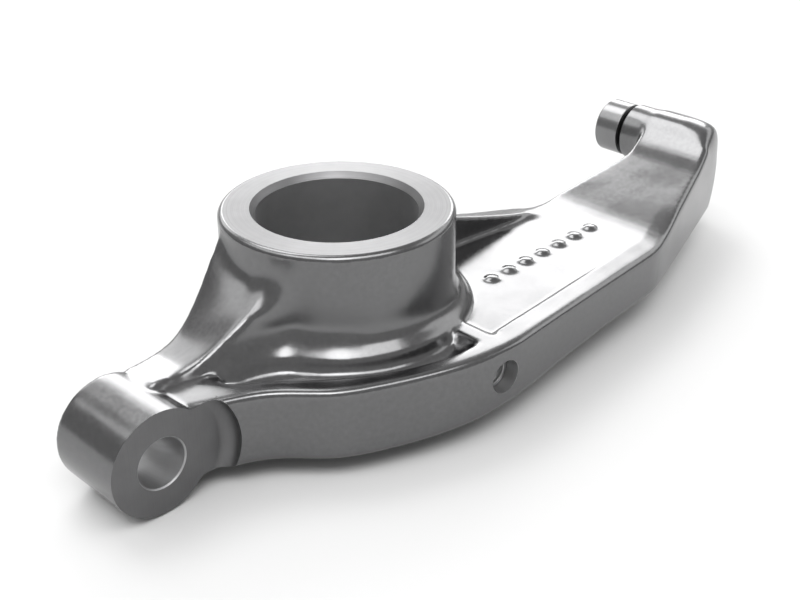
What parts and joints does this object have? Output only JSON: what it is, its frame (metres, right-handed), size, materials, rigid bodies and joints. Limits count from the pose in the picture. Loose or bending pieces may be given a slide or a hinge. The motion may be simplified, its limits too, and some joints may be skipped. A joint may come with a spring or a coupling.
{
  "type": "rocker arm",
  "caption": "Steel rocker arm with a plain shaft bore, a boss for the adjusting screw at one end and a pressed-in valve tip at the other.",
  "frame": {"origin": "on the shaft bore's axis, halfway between the two machined hub faces", "axes": "+Z along the shaft bore's axis, up in the picture; +X towards the valve end; +Y towards the working side, where the valve tip and the adjusting screw push"},
  "size_m": [0.217, 0.0762, 0.046],
  "materials": {
    "forged_steel": "tumbled casting skin, machined faces and bores",
    "hardened_steel": "ground",
    "plug_steel": "turned"
  },
  "bodies": {
    "root": {"rocker_arm": "forged_steel", "valve_tip": "hardened_steel", "oil_gallery_plug": "plug_steel"}
  },
  "joints": []
}
